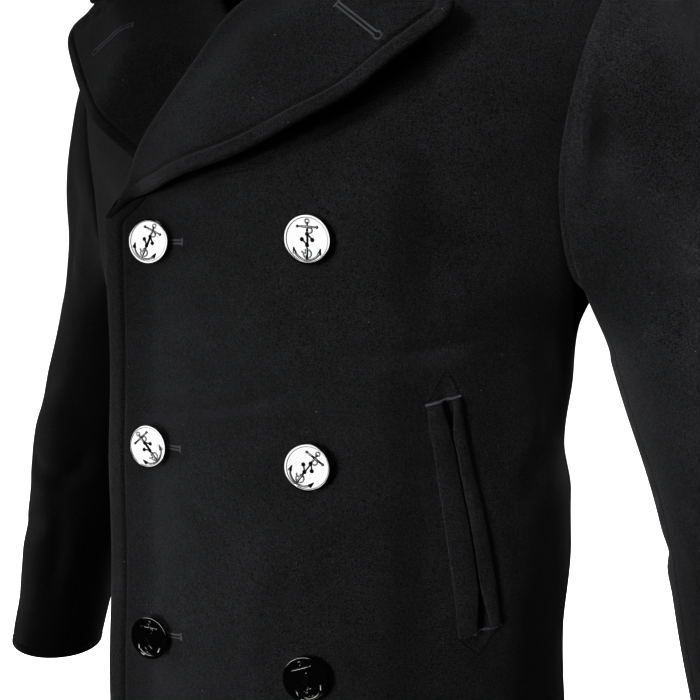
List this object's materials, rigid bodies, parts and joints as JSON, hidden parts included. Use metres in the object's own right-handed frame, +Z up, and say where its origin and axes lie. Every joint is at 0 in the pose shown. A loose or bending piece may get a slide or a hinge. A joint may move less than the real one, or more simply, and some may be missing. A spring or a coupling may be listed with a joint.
{
  "type": "pea coat",
  "caption": "Double-breasted pea coat in heavy dark wool, filled out as worn, with wide notched lapels, slanted welt pockets and anchor buttons.",
  "frame": {"origin": "the middle of the neck opening, level with the two neck points", "axes": "+Z up, the front of the coat faces -Y, the wearer's left side is +X"},
  "size_m": [0.7584, 0.3134, 0.7896],
  "materials": {
    "wool": "matte heavy felted wool, near black",
    "button_plastic": "polished black"
  },
  "bodies": {
    "root": {"front_left": "wool", "front_right": "wool", "back_left": "wool", "back_right": "wool", "sleeve_top_left": "wool", "sleeve_top_right": "wool", "sleeve_under_left": "wool", "sleeve_under_right": "wool", "lapel_left": "wool", "lapel_right": "wool", "collar_stand": "wool", "collar_leaf": "wool", "pocket_welt_left": "wool", "pocket_welt_right": "wool", "pocket_lip_left": "wool", "pocket_lip_right": "wool", "button_top_left": "button_plastic", "button_top_right": "button_plastic", "button_middle_left": "button_plastic", "button_middle_right": "button_plastic", "button_bottom_left": "button_plastic", "button_bottom_right": "button_plastic"}
  },
  "joints": []
}
